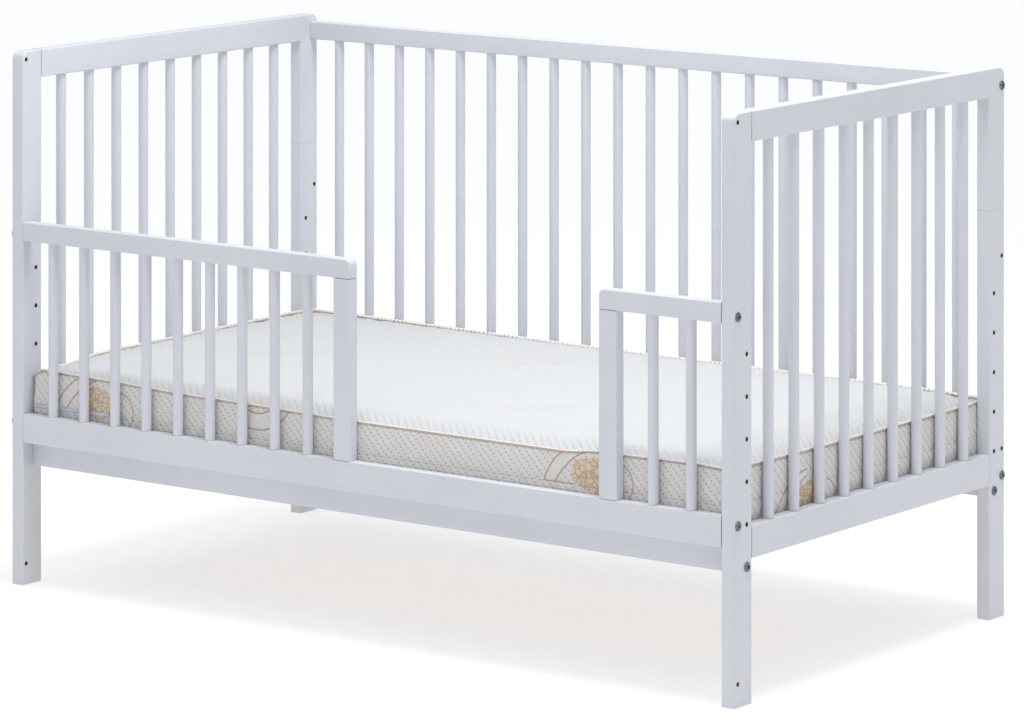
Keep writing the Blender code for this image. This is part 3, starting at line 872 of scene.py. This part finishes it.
def sweep(name, radius, height, grow, step):
    """Make a cord round the cover's edge, moved out by grow. Its strands show as twisted lobes.

    radius and height are functions of the distance round the edge.
    """
    lobes, turns = 2, 12
    way = np.linspace(-HALF_ROUND, HALF_ROUND, round(2 * HALF_ROUND / step) + 1)[:-1]
    centre, outward = rim(way, grow)
    angle = np.linspace(0, math.tau, turns + 1)[:-1]
    twist = lobes * (angle[None] - math.tau * way[:, None] / (CORD_PITCH * lobes))
    reach = radius(way)[:, None] * (1 + 0.13 * np.cos(twist))
    across = reach * np.cos(angle)
    up = reach * np.sin(angle) + height(way)[:, None]
    flat = centre[:, None] + across[:, :, None] * outward[:, None]
    points = np.concatenate((flat, up[:, :, None]), axis=2).reshape(-1, 3)
    points = keep_clear(belly(points))
    index = np.arange(len(points)).reshape(len(way), turns)
    after = np.roll(index, -1, axis=0)
    corners = (index, after, np.roll(after, -1, axis=1), np.roll(index, -1, axis=1))
    faces = np.stack([c.ravel() for c in corners], axis=1)
    mesh = mesh_from(name, points, faces.tolist())
    along_edge = np.append(way, HALF_ROUND)
    round_cord = np.append(angle, math.tau) * PIPING_RADIUS
    u = np.stack([along_edge[part] for part in (BEFORE, AFTER, AFTER, BEFORE)], axis=1)
    v = np.stack([round_cord[part] for part in (BEFORE, BEFORE, AFTER, AFTER)], axis=1)
    lay_uvs(mesh, np.stack(np.broadcast_arrays(u[:, None], v[None]), axis=3))
    return mesh


def scatter(name, template, places):
    """Make one mesh of many copies of a small one. template is a bmesh, which this frees."""
    template.verts.ensure_lookup_table()
    shape = np.array([(*v.co, 1.0) for v in template.verts])
    sides = [[v.index for v in f.verts] for f in template.faces]
    template.free()
    points = np.concatenate([(shape @ np.array(place).T)[:, :3] for place in places])
    faces = [[i + k * len(shape) for i in side] for k in range(len(places)) for side in sides]
    return mesh_from(name, points, faces)


def surface_finder(cover):
    """Return a function that finds a place on the side band and frames it.

    Its matrix has X along the edge, Y out of the cover and Z up.
    """
    tree = BVHTree.FromObject(cover, bpy.context.evaluated_depsgraph_get())

    def find(way, height, lift):
        (point,), (outward,) = rim(way, 0.03)
        out = Vector((*outward, 0))
        hit = tree.ray_cast(Vector((*point, height)), -out)[0]
        place = hit + lift * out
        ahead = Vector((-out.y, out.x, 0))
        return Matrix.Translation(place) @ Matrix((ahead, out, (0, 0, 1))).transposed().to_4x4()

    return find


def stitch(length, thick):
    """Make one stitch of thread as a bmesh, long in X and flattened along Y."""
    bm = bmesh.new()
    size = Matrix.Diagonal((length / 2, thick / 2.4, thick / 2, 1))
    turn = Matrix.Rotation(math.pi / 2, 4, "Y")
    bmesh.ops.create_uvsphere(bm, u_segments=6, v_segments=4, radius=1.0, matrix=size @ turn)
    return bm


def sew(name, find, material, ways, height, length, thick):
    """Sew stitches at distances round the side band, at the heights that a function gives."""
    places = [find(way, high, 0.0001) for way, high in zip(ways, height(ways))]
    add_piece(name, scatter(name, stitch(length, thick), places), material)


def make_zip(find, tape_material, metal):
    """Make the length of zip that shows past the flap: its tape, teeth and slider."""
    width, pitch = 0.0078, 0.0022
    bm = bmesh.new()
    rows = []
    for way in np.arange(ZIP_START, ZIP_END, 0.004):
        rows.append([bm.verts.new(find(way, ZIP_HEIGHT + share * width, 0.0004).translation)
                     for share in (-0.5, -0.1, 0.1, 0.5)])
    for before, after in zip(rows, rows[1:]):
        for k in range(3):
            bm.faces.new((before[k], after[k], after[k + 1], before[k + 1]))
    bmesh.ops.solidify(bm, geom=bm.faces[:], thickness=0.0005)
    bmesh.ops.recalc_face_normals(bm, faces=bm.faces[:])
    add_piece("mattress_zip_tape", mesh_of("zip_tape", bm), tape_material, sharp=True)
    tooth = bmesh.new()
    bmesh.ops.create_cube(tooth, size=1.0, matrix=Matrix.Diagonal((0.0013, 0.0006, 0.0020, 1)))
    bmesh.ops.bevel(tooth, geom=tooth.edges[:], offset=0.0002, segments=1, affect="EDGES")
    places = [find(way, ZIP_HEIGHT + 0.0003 * (-1) ** k, 0.0005)
              for k, way in enumerate(np.arange(ZIP_START, ZIP_END, pitch))]
    add_piece("mattress_zip_teeth", scatter("zip_teeth", tooth, places), tape_material, sharp=True)
    make_slider(find(ZIP_END + 0.011, ZIP_HEIGHT, 0.0006), metal)


def make_slider(place, metal):
    """Make the zip's slider: a waisted body, a bridge and a hanging pull with a hole."""
    bm = bmesh.new()
    body = Matrix.Diagonal((0.009, 0.0022, 0.0066, 1))
    bmesh.ops.create_cube(bm, size=1.0, matrix=body)
    for vert in bm.verts:
        if vert.co.x < 0:
            vert.co.z *= 0.6
    bmesh.ops.create_cube(bm, size=1.0, matrix=Matrix.Translation((0, 0.0018, 0))
                          @ Matrix.Diagonal((0.0052, 0.0018, 0.0016, 1)))
    angles = np.linspace(0, math.tau, 25)[:-1]
    outline = [(0.0022 * math.cos(a) * (1.0 if math.sin(a) > 0 else 1.25),
                -0.0046 + 0.0046 * math.sin(a)) for a in angles]
    hole = [(0.0010 * math.cos(a), -0.0070 + 0.0010 * math.sin(a)) for a in angles]
    outer = [bm.verts.new((x, 0.0028, z)) for x, z in outline]
    inner = [bm.verts.new((x, 0.0028, z)) for x, z in hole]
    pull = [bm.faces.new((outer[k], outer[(k + 1) % 24], inner[(k + 1) % 24], inner[k]))
            for k in range(24)]
    bmesh.ops.solidify(bm, geom=pull, thickness=0.0008)
    bmesh.ops.bevel(bm, geom=[e for e in bm.edges if e.calc_length() > 0.0012], offset=0.0003,
                    segments=2, affect="EDGES")
    bmesh.ops.recalc_face_normals(bm, faces=bm.faces[:])
    bmesh.ops.transform(bm, matrix=place, verts=bm.verts)
    mesh = mesh_of("zip_slider", bm)
    add_piece("mattress_zip_slider", mesh, metal, sharp=True)


# Cloth

def lattice(graph, place, first, second, offset=(0.0, 0.0)):
    """Fold the plane onto one cell of a lattice, and return the place from the cell's middle.

    first and second are the lattice's two steps, and offset is the middle of one cell.
    """
    area = first[0] * second[1] - first[1] * second[0]
    x, y, _ = graph.split(graph.vector("SUBTRACT", place, (*offset, 0.0)))
    across = x * (second[1] / area) + y * (-second[0] / area)
    up = x * (-first[1] / area) + y * (first[0] / area)
    whole = [graph.math("ROUND", part) for part in (across, up)]
    rest = [part - near for part, near in zip((across, up), whole)]
    return graph.join(*(rest[0] * first[k] + rest[1] * second[k] for k in (0, 1)))


def knit(graph, place, dot_size):
    """Return the knit's dots, as a share of colour, and its height with dimples at the dots."""
    wander = graph.noise(place, 240.0, 1.0, output="Color")
    nudge = graph.vector("MULTIPLY", graph.vector("SUBTRACT", wander, (0.5, 0.5, 0.5)),
                         (0.0012, 0.0012, 0.0))
    spot = lattice(graph, graph.vector("ADD", place, nudge), *DOT_STEPS)
    reach = graph.vector("LENGTH", spot)
    strength = graph.scale(graph.noise(graph.vector("MULTIPLY", place, (60, 60, 0)), 1.0), 0.7, 1.4)
    dots = graph.step(reach, dot_size * 1.35, dot_size * 0.55) * strength
    dots = graph.math("MINIMUM", dots, 1.0)
    puff = graph.step(reach, 0.0003, 0.0030)
    x, y, _ = graph.split(place)
    wale = graph.sine(x * (math.tau / 0.0012))
    course = graph.sine(y * (math.tau / 0.0010))
    loops = graph.scale(wale * course, 0.5, 1.0)
    return dots, graph.math("MULTIPLY_ADD", loops, 0.10, puff)


def finish_cloth(graph, colour, height, depth, sheen=0.15):
    """Set a soft cloth's shader, with fuzz and creases under its weave."""
    place = graph.coords()
    creases = graph.bump(graph.noise(place, 26.0, 3.0), 0.0010)
    fuzz = graph.bump(graph.noise(place, 1500.0, 2.0), 0.00012, creases)
    graph.set(Base_Color=colour, Roughness=0.92, Sheen_Weight=sheen, Sheen_Roughness=0.45,
              Specular_IOR_Level=0.15, Normal=graph.bump(height, depth, fuzz))


def sprig(graph, local):
    """Draw a generic leafy sprig about 0.12 m long: a stem with a leaf to each side in turn."""
    x, y, _ = graph.split(local)
    run = x * 0.78 + y * 0.62
    side = x * -0.62 + y * 0.78
    side = graph.math("MULTIPLY_ADD", graph.sine(run * 38.0), -0.007, side)
    place = run / LEAF_PITCH
    near = graph.math("ROUND", place)
    turn = graph.math("PINGPONG", near, 1.0)
    rest = (place - near) / 0.52
    lean = side - graph.scale(turn, -0.0075, 0.0075)
    lean = graph.math("MULTIPLY_ADD", rest, -0.0055, lean) / LEAF_WIDTH
    leaves = graph.step(graph.vector("LENGTH", graph.join(rest, lean)), 1.05, 0.85)
    vein = graph.step(abs(lean), 0.06, 0.20)
    stem = graph.step(abs(side), 0.0022, 0.0014)
    within = graph.step(abs(run), SPRIG_HALF, SPRIG_HALF - 0.006)
    return graph.math("MAXIMUM", leaves * vein, stem) * within


def ragged_patch(graph, place, local, centre, squeeze, radii, rough, scale):
    """Draw an oval patch, from its outer to its inner radius, with an edge rough by so much.

    squeeze is the share of its length along X that counts.
    """
    ragged = graph.scale(graph.noise(place, scale, 2.0), -rough, rough)
    spread = graph.vector("MULTIPLY", graph.vector("SUBTRACT", local, (*centre, 0.0)),
                          (squeeze, 1.0, 0.0))
    return graph.step(graph.vector("LENGTH", spread) + ragged, *radii)


def cover_top_material():
    """Off-white knit with a few pale beige sprigs, its dimples deepest where the edge rolls.
    Painted shade greys its dimples and shows its knit's bumps as beige dots, most where the edge
    rolls.
    """
    graph = Graph("cover_top")
    place = graph.uv("cloth")
    dots, height = knit(graph, place, 0.0011)
    x, y, _ = graph.split(place)
    half_x, half_y = COVER_HALF.tolist()
    inset = graph.math("MINIMUM", half_x - abs(x), half_y - abs(y))
    rolled = graph.step(inset, 0.060, 0.012)
    patchy = graph.step(graph.noise(place, 75.0, 2.0), 0.40, 0.62)
    # Painted shade: grey in the dimples, and beige at the knit's dots, strongest where the edge
    # rolls.
    dimple = (1.0 - height) * patchy
    colour = graph.mix(dimple * graph.scale(rolled, 0.04, 0.55), KNIT_TOP_WITH_PAINTED_SHADE, DIMPLE_SHADE_GREY)
    colour = graph.mix(dots * graph.scale(rolled, 0.0, 0.40), colour, PRINT_BEIGE)
    local = lattice(graph, place, *SPRIG_STEPS, SPRIG_START)
    worn = graph.scale(graph.noise(place, 260.0, 3.0), 0.15, 1.55)
    drawn = graph.math("MINIMUM", sprig(graph, local) * worn, 0.8)
    colour = graph.mix(drawn, colour, SPRIG_BEIGE)
    patch = ragged_patch(graph, place, place, (-0.210, -0.344), squeeze=0.5,
                         radii=(0.0150, 0.0125), rough=0.008, scale=120.0)
    colour = graph.mix(patch * 0.6, colour, PATCH_BEIGE)
    colour = graph.mix(graph.scale(graph.noise(place, 9.0, 3.0), 0.0, 0.4), colour, KNIT_TOP_WITH_PAINTED_SHADE)
    finish_cloth(graph, colour, height * graph.scale(rolled, 0.18, 1.0), 0.0012, sheen=0.05)
    return graph.material


def arc_distance(graph, place, centre, radius):
    """Return the distance from a circle's line."""
    return abs(graph.vector("DISTANCE", place, (*centre, 0.0)) - radius)


def arc(graph, place, centre, radius, width):
    """Draw a thin arc of a circle."""
    return graph.step(arc_distance(graph, place, centre, radius), width, width * 0.4)


def ribbon_and_petals(graph, place, start, height, slope):
    """Draw a generic motif at even spacings round the side band, to one spacing past start.

    It is a plain ribbon between two arcs, then a patch of petals, then a closing arc. height is
    its foot's height at start, and slope is how it climbs with the distance round. Returns the
    ribbon's inside, the lines and the patch.
    """
    x, y, _ = graph.split(place)
    along_band = x - (start + 0.08)
    number = graph.math("ROUND", along_band / RIBBON_SPACING)
    number = graph.math("MINIMUM", number, 1.0)
    off = graph.math("MULTIPLY_ADD", number, -RIBBON_SPACING, along_band) + 0.08
    climb = graph.math("MULTIPLY_ADD", number, slope * RIBBON_SPACING, height)
    up = y - climb
    local = graph.join(off, up)
    outer, inner = (0.0848, -0.0268), (0.1325, -0.0686)
    left = graph.step(off, 0.085, 0.080) * graph.step(up, -0.001, 0.001)
    within = graph.step(graph.vector("DISTANCE", local, (*outer, 0.0)), 0.0885, 0.0875)
    beyond = graph.step(graph.vector("DISTANCE", local, (*inner, 0.0)), 0.1320, 0.1330)
    inside = within * beyond * left
    lines = graph.math("MAXIMUM", arc(graph, local, outer, 0.089, 0.0019),
                       arc(graph, local, inner, 0.1326, 0.0019))
    foot = graph.step(abs(up), 0.0014, 0.0006) * (
        graph.step(off, -0.003, 0.000) * graph.step(off, 0.060, 0.050))
    lines = graph.math("MAXIMUM", lines * left, foot)
    closing = arc(graph, local, (0.128, 0.010), 0.031, 0.0016)
    lines = graph.math("MAXIMUM", lines, closing * graph.step(off, 0.128, 0.140))
    patch = ragged_patch(graph, place, local, (0.086, 0.017), squeeze=0.68,
                         radii=(0.0265, 0.0245), rough=0.010, scale=90.0)
    return inside, lines, patch


def hanging_ribbon(graph, place):
    """Draw a plain ribbon that curves down from the seam and up again, at the left of the front.

    Returns its inside, its two edge lines and an empty patch, as ribbon_and_petals does.
    """
    off = arc_distance(graph, place, RIBBON_CENTRE, RIBBON_REACH)
    edge = abs(off - RIBBON_HALF)
    begun = graph.step(graph.split(place)[0], RIBBON_START, RIBBON_START + 0.001)
    inside = graph.step(off, RIBBON_HALF, RIBBON_HALF - 0.001) * begun
    return inside, graph.step(edge, 0.0019, 0.0008) * begun, 0.0


def cover_side_material():
    """Ivory knit with brown-beige dots, ribbons and patches of petals."""
    graph = Graph("cover_side")
    place = graph.uv("cloth")
    dots, height = knit(graph, place, 0.00155)
    ground = graph.mix(graph.scale(graph.noise(place, 16.0, 3.0), 0.0, 1.0), KNIT,
                       tuple(0.92 * c for c in KNIT))
    colour = graph.mix(dots * 0.62, ground, DOT_BROWN)
    outline = graph.step(graph.cells(place, (95, 120, 1), "DISTANCE_TO_EDGE"), 0.13, 0.05)
    motifs = [ribbon_and_petals(graph, place, *ribbon) for ribbon in RIBBONS]
    for inside, lines, patch in (*motifs, hanging_ribbon(graph, place)):
        colour = graph.mix(inside * 0.9, colour, ground)
        shade = graph.mix(outline * 0.8, PETAL_BEIGE, PRINT_BROWN)
        colour = graph.mix(patch * 0.9, colour, shade)
        colour = graph.mix(lines * 0.85, colour, PRINT_BROWN)
    finish_cloth(graph, colour, height, 0.0006)
    return graph.material


def piping_material():
    """Cream corded piping with brown flecks that follow its twist, and brown painted shade along
    its lower side.
    """
    graph = Graph("piping")
    x, y, _ = graph.split(graph.uv("cloth"))
    slant = x / CORD_PITCH + y / (math.tau * PIPING_RADIUS)
    wave = graph.sine(slant * math.tau)
    flecks = graph.step(wave, 0.45, 0.95) * graph.step(
        graph.noise(graph.uv("cloth"), 85.0, 1.0), 0.42, 0.60)
    inner = graph.step(graph.split(graph.coords())[1], -0.345, -0.30)
    # Painted shade: the cord's lower half is browned for the shade under it.
    painted_shade_underside = graph.step(graph.sine(y / PIPING_RADIUS), 0.35, -0.25)
    colour = graph.mix(graph.scale(wave, 0.2, 0.45), CORD_LIGHT, CORD_DARK)
    colour = graph.mix(flecks * graph.scale(inner, 0.12, 0.7), colour, PRINT_BROWN)
    colour = graph.mix(painted_shade_underside * 0.6, colour, PRINT_BROWN)
    ribs = graph.sine(slant * (6 * math.tau))
    finish_cloth(graph, colour, graph.math("MULTIPLY_ADD", ribs, 0.25, wave), 0.0003)
    return graph.material


def thread_material(name, colour):
    """Twisted sewing thread."""
    graph = Graph(name)
    place = graph.coords()
    x, y, z = graph.split(place)
    twist = graph.sine((x + y + z) * 9000.0)
    tone = graph.mix(graph.noise(place, 300.0, 2.0), colour, tuple(1.5 * c for c in colour))
    graph.set(Base_Color=tone, Roughness=0.7, Sheen_Weight=0.2,
              Normal=graph.bump(twist, 0.00005))
    return graph.material


def zip_material():
    """Pale blue woven zip tape."""
    graph = Graph("zip_tape")
    place = graph.coords()
    x, y, z = graph.split(place)
    weave = graph.sine(z * 7000.0)
    cross = graph.sine((x + y) * 5200.0)
    cloth = graph.scale(weave * cross, 0.5, 1.0)
    tone = graph.mix(graph.scale(cloth, 0.0, 0.4), ZIP_BLUE, ZIP_SHADE)
    graph.set(Base_Color=tone, Roughness=0.75, Sheen_Weight=0.2, Normal=graph.bump(cloth, 0.00003))
    return graph.material


def make_mattress(metal):
    """Make the mattress's cover, piping, stitching and zip."""
    cover, hold = make_cover((cover_top_material(), cover_side_material()))
    swell(cover, hold)
    finer = cover.modifiers.new("finer", "SUBSURF")
    finer.levels = 1
    finer.render_levels = 1
    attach(cover, "mattress")
    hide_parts("mattress")

    cord = piping_material()
    add_piece("mattress_piping_top", sweep(
        "piping_top", piping_radius, piping_height, grow=-0.0012, step=0.0016), cord)
    add_piece("mattress_piping_bottom", sweep(
        "piping_bottom", lambda way: np.full(len(way), 0.0022),
        lambda way: np.full(len(way), BOTTOM_SEAM), grow=-0.0008, step=0.0030), cord)
    find = surface_finder(cover)
    brown = thread_material("thread_and_seam_shade_brown", THREAD_AND_SEAM_SHADE_BROWN)
    # Painted shade: this nearly unbroken row of brown stitches is partly real stitching, partly a
    # dark line for the shade under the seam.
    sew("mattress_stitching_and_seam_shade_top", find, brown, np.arange(-HALF_ROUND, HALF_ROUND, 0.0050),
        lambda way: seam_height(wrap(way)) - piping_radius(way) - 0.0008, 0.0043, 0.0009)
    sew("mattress_stitching_flap", find, brown,
        np.arange(ZIP_END, 2 * HALF_ROUND + ZIP_START, 0.0042),
        lambda way: np.full(len(way), FLAP_HEIGHT - 0.0004), 0.0030, 0.0005)
    make_zip(find, zip_material(), metal)


# Studio

def make_camera():
    """Make the camera. Its parent shears it, which keeps upright lines parallel as a shift lens
    does, with no shift."""
    camera = add_object("camera", bpy.data.cameras.new("camera"))
    camera.data.lens = CAMERA_LENS
    camera.data.sensor_width = SENSOR_WIDTH
    camera.data.clip_end = 200.0
    camera.data.dof.use_dof = False
    stand = add_object("camera_stand", None)
    right = Vector((math.cos(CAMERA_HEADING), -math.sin(CAMERA_HEADING), 0))
    level = Vector((math.sin(CAMERA_HEADING), math.cos(CAMERA_HEADING), 0))
    up = Vector((0, 0, 1))
    back = math.sin(CAMERA_DIP) * up - math.cos(CAMERA_DIP) * level
    sheared = Matrix((right, up, back)).transposed().to_4x4()
    sheared.translation = CAMERA_PLACE
    camera.parent = stand
    camera.matrix_parent_inverse = sheared
    bpy.context.scene.camera = camera


def make_floor():
    """Make a wide, pale floor with a faint grain."""
    bm = bmesh.new()
    bmesh.ops.create_grid(bm, x_segments=8, y_segments=8, size=60.0)
    floor = add_object("floor", mesh_of("floor", bm))
    floor.location.z = -0.0005
    graph = Graph("floor")
    cloud = graph.noise(graph.coords(), 0.6, 3.0)
    tone = graph.mix(cloud, FLOOR_WHITE, tuple(0.99 * c for c in FLOOR_WHITE))
    graph.set(Base_Color=tone, Roughness=0.9, Specular_IOR_Level=0.1,
              Emission_Color=FLOOR_GLOW, Emission_Strength=1.0)
    floor.data.materials.append(graph.material)


def add_light(name, kind, energy, place, tilt=(0, 0, 0)):
    """Add a light, and return its data."""
    light = bpy.data.lights.new(name, kind)
    light.energy = energy
    light.color = LIGHT_COLOUR
    obj = add_object(name, light)
    obj.location = place
    obj.rotation_euler = tilt
    return light


def make_lights():
    """Light the bed softly from all round and, more, from above.

    The overhead sun is very wide and even over all the floor. The lamp is broad and soft. It
    stands high over the right half, and lights the faces that are turned to that end.
    """
    world = bpy.data.worlds.new("studio")
    world.use_nodes = True
    nodes, links = world.node_tree.nodes, world.node_tree.links
    height = nodes.new("ShaderNodeSeparateXYZ")
    links.new(nodes.new("ShaderNodeTexCoord").outputs["Generated"], height.inputs[0])
    fade = nodes.new("ShaderNodeMapRange")
    fade.interpolation_type = "SMOOTHSTEP"
    fade.inputs["From Max"].default_value = math.sin(SKY_FADE_TOP)
    fade.inputs["To Min"].default_value = SKY_HORIZON
    fade.inputs["To Max"].default_value = SKY_ABOVE
    links.new(height.outputs["Z"], fade.inputs["Value"])
    sky = nodes["Background"]
    sky.inputs["Color"].default_value = SKY_COLOUR
    links.new(fade.outputs["Result"], sky.inputs["Strength"])
    bpy.context.scene.world = world
    overhead = add_light("overhead", "SUN", OVERHEAD_STRENGTH, (0, 0, 5), OVERHEAD_TILT)
    overhead.angle = OVERHEAD_SPREAD
    lamp = add_light("lamp", "AREA", LAMP_POWER, LAMP_PLACE)
    lamp.shape = "RECTANGLE"
    lamp.size = lamp.size_y = LAMP_SIZE
    bpy.context.scene.view_settings.view_transform = "Standard"


make_camera()
make_floor()
make_lights()
zinc = zinc_material()
dress_frame(zinc)
make_barrel_nuts(zinc)
make_mattress(zinc)
